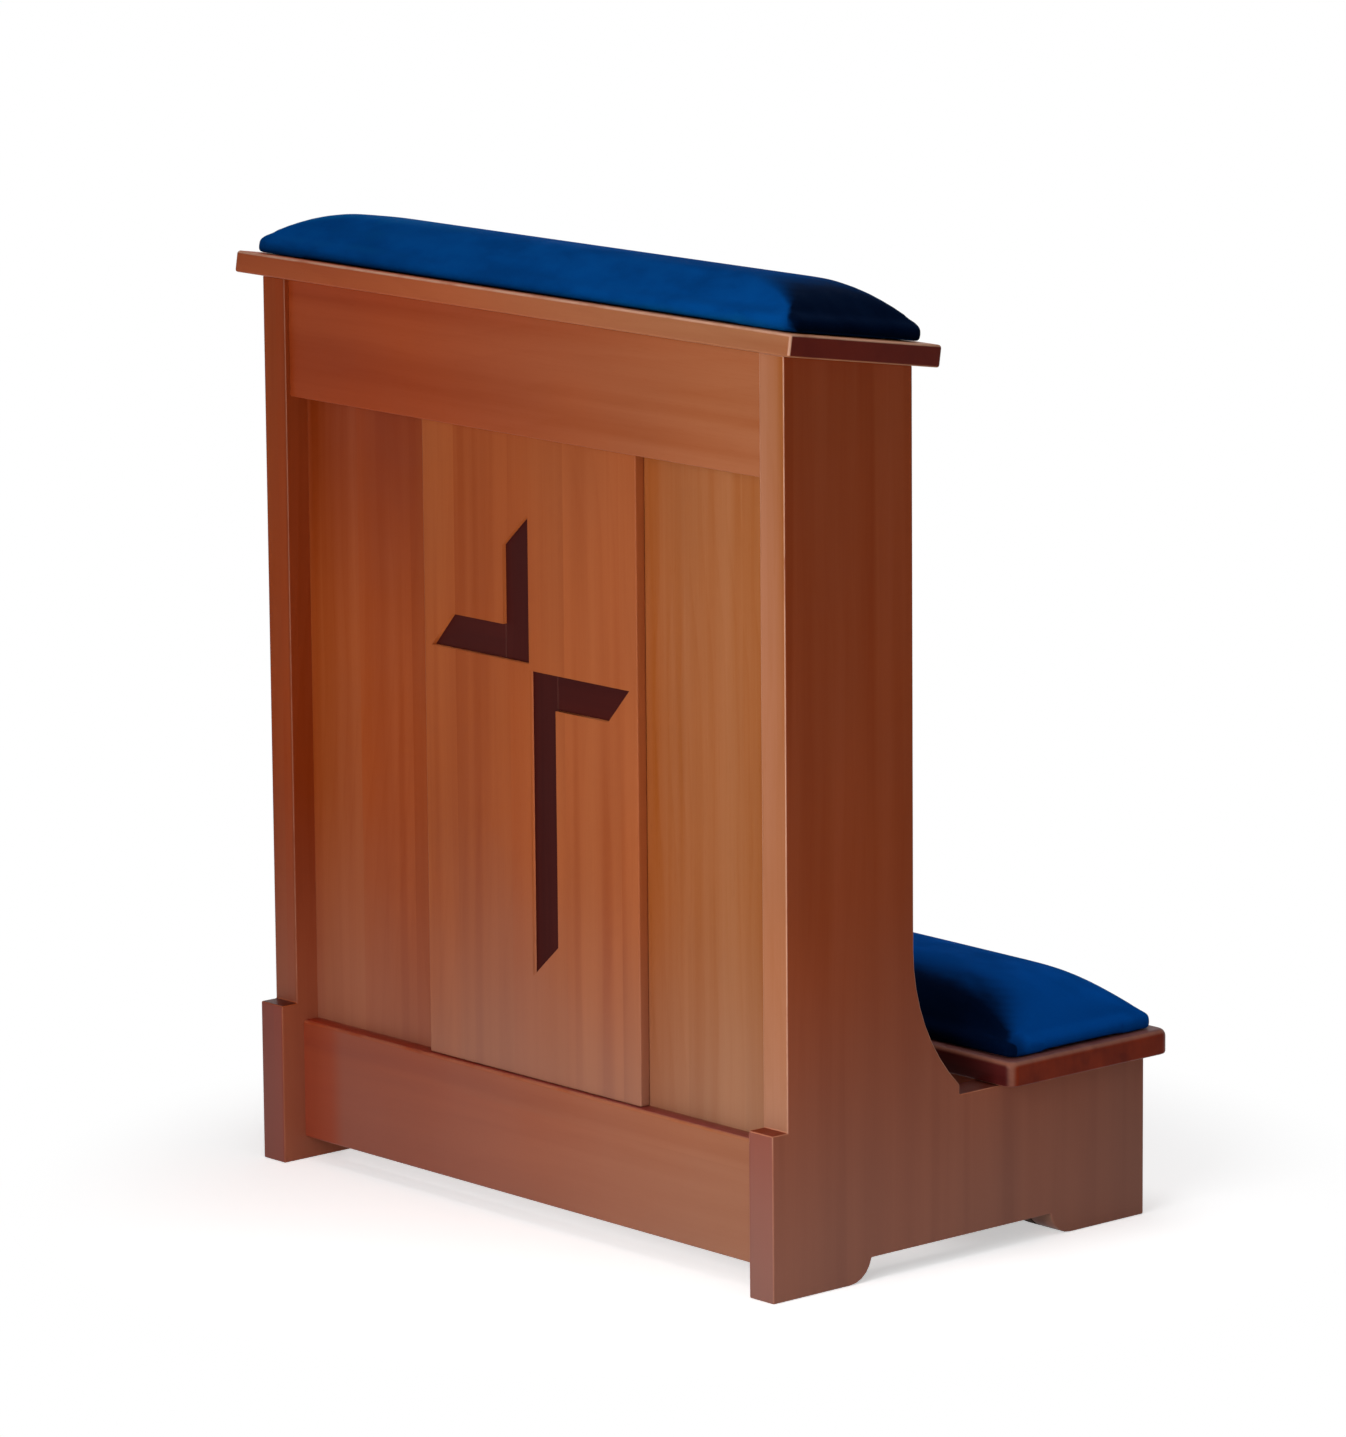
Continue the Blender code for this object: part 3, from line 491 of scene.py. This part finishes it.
def finished_copy(name, material):
    """A copy of a CAD board with its triangles merged, so that its round edges shade as round."""
    shape = bmesh.new()
    shape.from_mesh(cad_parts[name].data)
    bmesh.ops.remove_doubles(shape, verts=shape.verts, dist=merge_distance)
    bmesh.ops.dissolve_limit(
        shape, angle_limit=flat_within, verts=shape.verts, edges=shape.edges
    )
    mesh = bpy.data.meshes.new(name + "_wood")
    shape.to_mesh(mesh)
    shape.free()
    mesh.shade_smooth()
    mesh.set_sharp_from_angle(angle=smooth_angle)
    mesh.materials.clear()
    mesh.materials.append(material)
    piece = bpy.data.objects.new(name + "_wood", mesh)
    bpy.context.scene.collection.objects.link(piece)
    flat = piece.modifiers.new("flat_faces", "WEIGHTED_NORMAL")
    flat.weight = 100
    flat.keep_sharp = True
    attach(piece, "root")
    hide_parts(name)


def box_in(name, matrix):
    """Lowest and highest corner of a CAD node, measured in a turned frame."""
    inverse = matrix.inverted()
    points = [inverse @ vert.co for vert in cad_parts[name].data.vertices]
    return (
        Vector([min(point[axis] for point in points) for axis in range(3)]),
        Vector([max(point[axis] for point in points) for axis in range(3)]),
    )


def rounded_corner(x, y, half_length, half_depth, radius):
    """A point of a rectangle's grid moved so that the rectangle's corners are round."""
    past_x = (abs(x) - half_length + radius) / radius
    past_y = (abs(y) - half_depth + radius) / radius
    if past_x <= 0 or past_y <= 0:
        return x, y
    round_x = past_x * math.sqrt(1 - past_y**2 / 2)
    round_y = past_y * math.sqrt(1 - past_x**2 / 2)
    return (
        math.copysign(half_length - radius + round_x * radius, x),
        math.copysign(half_depth - radius + round_y * radius, y),
    )


def pad_shape(half_length, half_depth, form):
    """A closed bmesh of a crowned pad on its flat base, centred on the origin."""
    shape = bmesh.new()
    bmesh.ops.create_grid(shape, x_segments=pad_segments[0], y_segments=pad_segments[1], size=1)
    for vert in shape.verts:
        along = math.sin(vert.co.x * math.pi / 2)
        across = math.sin(vert.co.y * math.pi / 2)
        from_end = min((1 - abs(along)) * half_length / form["end_run"], 1)
        end_rise = max(1 - (1 - from_end) ** form["end_power"], 0.0001)
        side_rise = max(1 - abs(across) ** form["cross_power"], 0.0001)
        ridge = form["ridge"]
        rise = (end_rise ** -ridge + side_rise ** -ridge - 1) ** (-1 / ridge)
        x, y = rounded_corner(
            along * half_length, across * half_depth, half_length, half_depth,
            form["corner_radius"],
        )
        x -= math.copysign(form["draw_in"] * (1 - across**2) * along**4, x)
        y -= math.copysign(form["draw_in"] * (1 - along**2) * across**4, y)
        vert.co = (x, y, form["skirt"] + form["crown"] * rise)
    border = [edge for edge in shape.edges if edge.is_boundary]
    made = bmesh.ops.extrude_edge_only(shape, edges=border)["geom"]
    for vert in (item for item in made if isinstance(item, bmesh.types.BMVert)):
        vert.co.z = 0
    loop = [item for item in made if isinstance(item, bmesh.types.BMEdge) and item.is_boundary]
    bmesh.ops.contextual_create(shape, geom=loop)
    bmesh.ops.triangulate(shape, faces=[face for face in shape.faces if len(face.verts) > 4])
    bmesh.ops.recalc_face_normals(shape, faces=shape.faces)
    return shape


def apply_modifiers(piece):
    graph = bpy.context.evaluated_depsgraph_get()
    mesh = bpy.data.meshes.new_from_object(piece.evaluated_get(graph))
    piece.modifiers.clear()
    piece.data = mesh


def swell(piece):
    """Blows the pad up against its own cloth for a moment, and keeps each point near its start."""
    start = [vert.co.copy() for vert in piece.data.vertices]
    pinned = piece.vertex_groups.new(name="stapled")
    low = [vert.index for vert in piece.data.vertices if vert.co.z < pad_stapled_below]
    pinned.add(low, 1.0, "REPLACE")
    cloth = piece.modifiers.new("cloth", "CLOTH")
    cloth.settings.use_pressure = True
    cloth.settings.uniform_pressure_force = pad_pressure
    cloth.settings.effector_weights.gravity = 0
    cloth.settings.vertex_group_mass = "stapled"
    cloth.settings.quality = 6
    cloth.settings.tension_stiffness = pad_stretch_stiffness
    cloth.settings.compression_stiffness = pad_stretch_stiffness
    cloth.settings.bending_stiffness = pad_bend_stiffness
    cloth.point_cache.frame_start = 1
    cloth.point_cache.frame_end = pad_frames
    scene = bpy.context.scene
    for number in range(1, pad_frames + 1):
        scene.frame_set(number)
    apply_modifiers(piece)
    for vert, before in zip(piece.data.vertices, start):
        moved = vert.co - before
        if moved.length > pad_travel:
            vert.co = before + moved * (pad_travel / moved.length)
    scene.frame_set(1)


def outline_distance(x, y, half_length, half_depth, radius):
    """How far a point lies inside a rounded rectangle, and the direction straight out of it."""
    past_x = abs(x) - half_length + radius
    past_y = abs(y) - half_depth + radius
    if past_x > 0 and past_y > 0:
        reach = math.hypot(past_x, past_y)
        outward = Vector((past_x / reach, past_y / reach, 0))
        distance = radius - reach
    elif past_x > past_y:
        outward = Vector((1, 0, 0))
        distance = radius - past_x
    else:
        outward = Vector((0, 1, 0))
        distance = radius - past_y
    outward.x = math.copysign(outward.x, x)
    outward.y = math.copysign(outward.y, y)
    return distance, outward


def faded(value, start, end):
    """1 up to start, 0 past end, and an even curve between."""
    share = min(max((value - start) / (end - start), 0.0), 1.0)
    return 1 - share * share * (3 - 2 * share)


def work_pad(piece, half_length, half_depth, form):
    """Sets the hem on the pad's outline, and draws in staple puckers and a tuck at each corner."""
    shape = bmesh.new()
    shape.from_mesh(piece.data)
    for _ in range(pad_smoothing):
        bmesh.ops.smooth_vert(
            shape, verts=shape.verts, factor=0.5, use_axis_x=True, use_axis_y=True, use_axis_z=True
        )
    radius = form["corner_radius"]
    held_from, held_to = (share * form["skirt"] for share in hem_hold_shares)
    for vert in shape.verts:
        x, y, z = vert.co
        distance, outward = outline_distance(x, y, half_length, half_depth, radius)
        turned_in = pad_hem_turn * max(0.0, 1 - max(z, 0) / pad_hem_height) ** 2
        hold = faded(z, held_from, held_to) * faded(distance, hem_reach, hem_reach * 2)
        vert.co += outward * ((distance - turned_in) * hold)
        near_x = half_length - abs(x)
        near_y = half_depth - abs(y)
        run = x if near_y < near_x else y
        wave = 0.5 + 0.5 * math.cos(2 * math.pi * run / staple_pitch)
        pull = faded(z, pad_hem_height, tuck_reach) * faded(distance, 0, tuck_reach / 2)
        vert.co -= outward * (pucker_depth * pull * wave)
        from_corner = math.hypot(max(near_x, 0), max(near_y, 0))
        angle = math.atan2(near_y + radius, near_x + radius)
        tuck = math.cos(angle * tuck_turns - math.pi) ** tuck_sharpness
        vert.co -= outward * (tuck_depth * tuck * pull * faded(from_corner, 0, tuck_reach))
        vert.co.z = max(vert.co.z, 0)
    shape.to_mesh(piece.data)
    shape.free()


def add_pad(name, matrix, replaced, form, cloth):
    """A padded cover in the space that its CAD solids hold."""
    low, high = box_in(replaced[0], matrix)
    half_length = (high.x - low.x) / 2
    half_depth = (high.y - low.y) / 2
    centre = (low + high) / 2
    form = dict(form, crown=high.z - low.z - form["skirt"] + form["proud"])
    place = matrix @ Matrix.Translation((centre.x, centre.y, low.z + pad_rest_gap))
    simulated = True
    inset = pad_start_inset if simulated else 0
    started = dict(form, crown=form["crown"] - inset)
    shape = pad_shape(half_length - inset, half_depth - inset, started)
    mesh = bpy.data.meshes.new(name)
    shape.to_mesh(mesh)
    shape.free()
    piece = bpy.data.objects.new(name, mesh)
    bpy.context.scene.collection.objects.link(piece)
    remesh = piece.modifiers.new("remesh", "REMESH")
    remesh.mode = "VOXEL"
    remesh.voxel_size = pad_voxel
    apply_modifiers(piece)
    if simulated:
        swell(piece)
    work_pad(piece, half_length, half_depth, form)
    smooth = piece.modifiers.new("smooth", "SUBSURF")
    smooth.levels = 1
    smooth.render_levels = 1
    apply_modifiers(piece)
    piece.data.transform(place)
    piece.data.shade_smooth()
    piece.data.materials.clear()
    piece.data.materials.append(cloth)
    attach(piece, "root")
    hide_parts(*replaced)


def add_camera():
    a, e, r = camera_azimuth, camera_elevation, camera_roll
    back = Vector((math.sin(a) * math.cos(e), -math.cos(a) * math.cos(e), math.sin(e)))
    level = Vector((math.cos(a), math.sin(a), 0))
    upright = back.cross(level)
    right = level * math.cos(r) + upright * math.sin(r)
    up = upright * math.cos(r) - level * math.sin(r)
    data = bpy.data.cameras.new("camera")
    data.sensor_fit = "AUTO"
    data.sensor_width = sensor_size
    data.lens = photo_focal_pixels / photo_long_side * sensor_size
    camera = bpy.data.objects.new("camera", data)
    bpy.context.scene.collection.objects.link(camera)
    turn = Matrix((right, up, back)).transposed().to_4x4()
    camera.matrix_world = Matrix.Translation(camera_place) @ turn
    bpy.context.scene.camera = camera


def add_lamp(name, place, aim, size, power):
    data = bpy.data.lights.new(name, "AREA")
    data.shape = "RECTANGLE"
    data.size, data.size_y = size
    data.energy = power
    lamp = bpy.data.objects.new(name, data)
    bpy.context.scene.collection.objects.link(lamp)
    facing = Vector(aim) - Vector(place)
    turn = facing.to_track_quat("-Z", "Y").to_matrix().to_4x4()
    lamp.matrix_world = Matrix.Translation(place) @ turn


def seen_directly(tree):
    """1 for what is seen, by itself or in a mirror or glass, and 0 for what only lights."""
    path = node(tree, "ShaderNodeLightPath").outputs
    seen = maths(tree, "MAXIMUM", path["Is Camera Ray"], path["Is Glossy Ray"])
    return maths(tree, "MAXIMUM", seen, path["Is Transmission Ray"])


def floor_paper_material():
    """Pale paper that keeps the kneeler's shadow near it and is plain white further out."""
    material = bpy.data.materials.new("floor_paper")
    material.use_nodes = True
    tree = material.node_tree
    tree.nodes.clear()
    here = node(tree, "ShaderNodeTexCoord").outputs["Object"]
    far = ease(tree, vector_maths(tree, "LENGTH", here), *floor_white_range)
    lighting = node(tree, "ShaderNodeBsdfDiffuse", {"Color": (*floor_shade, 1.0)}).outputs[0]
    gained = [value * floor_gain for value in floor_shade]
    shadowed = node(tree, "ShaderNodeBsdfDiffuse", {"Color": (*gained, 1.0)}).outputs[0]
    glow = node(tree, "ShaderNodeEmission", {"Strength": floor_glow}).outputs[0]
    near_look = node(tree, "ShaderNodeAddShader", {0: shadowed, 1: glow}).outputs[0]
    far_look = node(tree, "ShaderNodeEmission", {"Strength": 1.0}).outputs[0]
    look = node(tree, "ShaderNodeMixShader", {0: far, 1: near_look, 2: far_look}).outputs[0]
    seen = seen_directly(tree)
    whole = node(tree, "ShaderNodeMixShader", {0: seen, 1: lighting, 2: look}).outputs[0]
    node(tree, "ShaderNodeOutputMaterial", {"Surface": whole})
    return material


def add_room():
    world = bpy.data.worlds.new("room")
    bpy.context.scene.world = world
    world.use_nodes = True
    tree = world.node_tree
    sky = tree.nodes["Background"]
    strength = maths(tree, "MULTIPLY_ADD", seen_directly(tree), 1.0 - room_light, room_light)
    tree.links.new(strength, sky.inputs["Strength"])
    sky.inputs["Color"].default_value = white

    shape = bmesh.new()
    bmesh.ops.create_grid(shape, x_segments=1, y_segments=1, size=floor_size)
    mesh = bpy.data.meshes.new("floor")
    shape.to_mesh(mesh)
    shape.free()
    floor = bpy.data.objects.new("floor", mesh)
    bpy.context.scene.collection.objects.link(floor)
    mesh.materials.append(floor_paper_material())


add_camera()
add_room()
for name, (place, aim, size, power) in lamps.items():
    add_lamp(name, place, aim, size, power)

wood_figure = wood_figure_group()
edge_wear_and_highlight = edge_wear_and_highlight_group()
marks_and_floor_reflection = marks_and_reflection_group()

boards = {
    "side_panel_left": dict(
        grain="Z", seed=1.31, pith=(0.02, 0.30, 0.0), plank=0.076,
        early=(0.390, 0.068, 0.0110), late=(0.310, 0.040, 0.0020),
        arris=0.25, floor_reflection=0.20, end_shares=(0.30, 0.20, 0.20),
        stains_and_painted_light=(
            ((looks_forward, foot_front), (0.83, 0.35, 0.15)),
            # Painted shade: the inner face darkened where it lies in the recess, less so low down.
            ((inside_left,), (0.68, 0.70, 1.2)),
            ((inside_left, ("place", 2, 0.30, 0.13)), (1.35, 1.45, 1.0)),
        ),
        # Less painted floor reflection on the inner face.
        less_floor_reflection=(inside_left, 0.62),
    ),
    "side_panel_right": dict(
        grain="Z", seed=2.77, pith=(0.05, 0.34, 0.0), plank=0.2,
        early=(0.352, 0.071, 0.0200), late=(0.276, 0.042, 0.0050),
        figure=0.10, arris=0.85, end_shares=(0.22, 0.12, 0.12),
        stains_and_painted_light=(
            # Painted sheen: the front edge paler and greyer.
            ((looks_forward, behind_foot_front), (1.08, 2.1, 3.8)),
            ((looks_forward, foot_front), (0.6156, 0.357, 0.266)),
            # Painted light: the step's top lightened where it lies in shade.
            ((looks_up, step_top), (2.7, 3.4, 3.4)),
        ),
        # Less painted floor reflection on the inner face.
        less_floor_reflection=(inside_right, 0.62),
    ),
    "front_rail": dict(
        grain="X", seed=4.10, pith=(0.62, 0.10, 0.0), plank=0.5,
        early=(0.418, 0.070, 0.0170), late=(0.330, 0.043, 0.0070),
        arris=0.25, floor_reflection=0.0,
        # Painted sheen towards the right.
        stains_and_painted_light=(((sheen_toward_right,), (0.86, 1.8, 3.2)),),
    ),
    "plinth_board": dict(
        grain="X", seed=5.90, pith=(0.01, 0.12, 0.0), plank=0.5,
        early=(0.370, 0.048, 0.0050), late=(0.312, 0.031, 0.0010),
        arris=0.9, floor_reflection=0.185,
        stains_and_painted_light=(
            # Painted light: the top ledge lightened where it lies in shade.
            ((looks_up,), (0.92, 0.76, 2.6)),
            # Painted sheen towards the right.
            ((sheen_toward_right,), (0.93, 2.1, 6.4)),
            ((("place", 0, -0.252, -0.276),), (1.10, 1.0, 0.80)),
        ),
        # Less painted floor reflection at the left end.
        less_floor_reflection=(("place", 0, -0.252, -0.276), 0.5),
    ),
    "top_board": dict(
        grain="X", seed=7.30, pith=(0.90, 0.16, 0.0), plank=0.5,
        early=(0.505, 0.115, 0.0370), late=(0.390, 0.072, 0.0200),
        arris=0.9, floor_reflection=0.0, end_shares=(0.34, 0.068, 0.045),
        # Painted sheen towards the right.
        stains_and_painted_light=(((sheen_toward_right,), (0.80, 1.42, 2.0)),),
    ),
    "kneeler_board": dict(
        grain="X", seed=8.40, pith=(0.20, 0.40, 0.0), plank=0.5,
        early=(0.285, 0.095, 0.0600), late=(0.160, 0.044, 0.0300),
        arris=0.10, floor_reflection=0.0, end_shares=(0.86, 0.27, 0.08),
        stains_and_painted_light=(
            # Painted shade: the front face darkened.
            ((looks_forward,), (0.39, 0.16, 0.23)),
            # Painted shade: the top darkened.
            ((looks_up,), (0.60, 0.60, 0.85)),
        ),
    ),
    "book_shelf": dict(
        grain="X", seed=9.60, pith=(0.50, 0.14, 0.0), plank=0.5,
        early=(0.420, 0.090, 0.0250), late=(0.310, 0.050, 0.0080), floor_reflection=0.0,
    ),
    "kneeler_front_rail": dict(
        grain="X", seed=10.20, pith=(0.10, 0.20, 0.0), plank=0.5,
        early=(0.400, 0.080, 0.0200), late=(0.300, 0.045, 0.0060),
    ),
    "kneeler_rear_rail": dict(
        grain="X", seed=11.70, pith=(0.12, 0.36, 0.0), plank=0.5,
        early=(0.410, 0.085, 0.0220), late=(0.310, 0.048, 0.0070),
    ),
    "back_panel": dict(
        grain="Z", seed=13.13, pith=(0.0, 0.05, 0.0), plank=0.072,
        early=(0.405, 0.082, 0.0180), late=(0.315, 0.044, 0.0030), arris=0.1,
        stains_and_painted_light=(
            # Painted sheen towards the right.
            ((sheen_toward_right,), (0.90, 1.72, 3.1)),
            ((("place", 0, -0.20, -0.25),), (1.18, 1.35, 1.6)),
            # Painted shade: the left panel darkened at the top, under the rail.
            ((("place", 0, -0.10, -0.19), ("place", 2, 0.45, 0.68)), (0.74, 0.61, 0.71)),
        ),
    ),
    "centre_board": dict(
        grain="Z", seed=14.57, pith=(0.03, 0.02, 0.0), plank=0.072,
        early=(0.425, 0.102, 0.0250), late=(0.330, 0.062, 0.0110), arris=0.05, floor_reflection=0.32,
        stains_and_painted_light=(((("place", 0, -0.06, 0.09),), (0.86, 0.97, 1.2)),),
    ),
}
for name, board in boards.items():
    finished_copy(name, wood_material(name + "_lacquer", **board))

# The cross's dark strips: grain and seed
strips = {
    "cross_upper_stem": ("Z", 20.3), "cross_lower_stem": ("Z", 21.3),
    "cross_left_bar": ("X", 22.3), "cross_right_bar": ("X", 23.3),
}
dark_stain = dict(
    pith=(0.3, 0.1, 0.0), plank=0.5, early=(0.060, 0.0078, 0.0057), late=(0.034, 0.0040, 0.0034),
    arris_colour=(0.10, 0.030, 0.022), roughness=0.42, specular=0.04, floor_reflection=0.0,
)
for name, (grain, seed) in strips.items():
    stain = wood_material(name + "_stain", grain, seed, **dark_stain)
    finished_copy(name, stain)

softwood = dict(
    pith=(0.2, 0.1, 0.0), plank=0.5, early=(0.52, 0.33, 0.18), late=(0.36, 0.20, 0.095),
    arris_colour=(0.6, 0.42, 0.26), roughness=0.62,
)
# The foot blocks are darkened near black as painted shade under the arches.
shade_blackened = dict(softwood, early=(0.060, 0.026, 0.014), late=(0.035, 0.015, 0.008), floor_reflection=0.0)
give(
    ["corner_block_left", "corner_block_right"],
    wood_material("raw_softwood_upright", "Z", 30.1, **softwood),
)
give(
    ["foot_block_left", "foot_block_right"],
    wood_material("shade_blackened_softwood", "Z", 32.6, **shade_blackened),
)
give(
    [
        "kneeler_bearer", "top_cleat_left", "top_cleat_right", "kneeler_cleat_left",
        "kneeler_cleat_right",
    ],
    wood_material("raw_softwood_deep", "Y", 31.4, **softwood),
)
give(["armrest_base", "knee_pad_base"], plywood_material())
give([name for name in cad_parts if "screw" in name], steel_material())

add_pad(
    "armrest_pad", Matrix.Rotation(-board_slope, 4, "X"), ["armrest_cover", "armrest_foam"],
    {
        "skirt": 0.0134, "end_run": 0.094, "end_power": 3.1, "cross_power": 4.3, "ridge": 1.6,
        "corner_radius": 0.004, "draw_in": 0.0015, "proud": 0.0,
    },
    cloth_material(
        "armrest_cloth", left_shaded_facing=(0.90, -0.24, -0.26), right_shaded_facing=(0.95, 0.16, 0.24),
        deep=(0.0002, 0.041, 0.186), bright=(0.0004, 0.074, 0.312), corner=(0, 0.332, 0.362),
    ),
)
add_pad(
    "knee_pad", Matrix.Identity(4), ["knee_pad_cover", "knee_pad_foam"],
    {
        "skirt": 0.0115, "end_run": 0.109, "end_power": 3.1, "cross_power": 3.1, "ridge": 1.3,
        "corner_radius": 0.006, "draw_in": 0.0020, "proud": 0.0025,
    },
    cloth_material(
        "knee_pad_cloth", left_shaded_facing=(0.24, -0.96, 0.04), right_shaded_facing=(0.24, -0.96, 0.04),
        deep=(0.0003, 0.058, 0.278), bright=(0.0005, 0.092, 0.450), corner=(1, 0.070, 0.045),
    ),
)

bpy.context.scene.view_settings.view_transform = "Standard"
